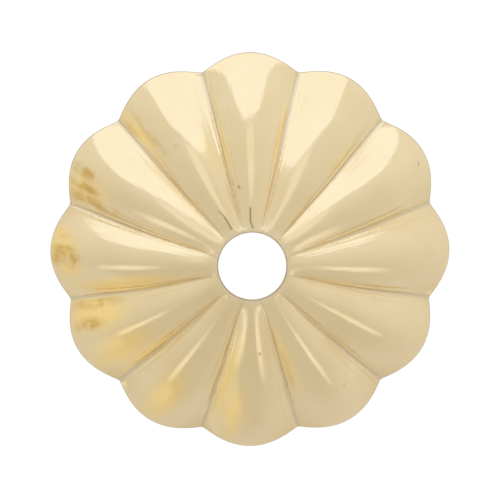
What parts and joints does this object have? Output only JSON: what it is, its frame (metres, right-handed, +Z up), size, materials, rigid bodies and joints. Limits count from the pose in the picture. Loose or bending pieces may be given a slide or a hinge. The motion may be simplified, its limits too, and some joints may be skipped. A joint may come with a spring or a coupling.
{
  "type": "bead cap",
  "caption": "Fluted bead cap: a thin gold-coloured metal dome of rounded petals that seats on a bead's end, with a thread hole at its top.",
  "frame": {"origin": "middle of the plane that the rim stands on", "axes": "+Z up along the thread hole's axis, out of the dome's top; +Y through the tip of one petal"},
  "size_m": [0.012, 0.012, 0.003],
  "materials": {
    "gold_finish": "polished pale gold plating on stamped sheet"
  },
  "bodies": {
    "root": {"bead_cap": "gold_finish"}
  },
  "joints": []
}
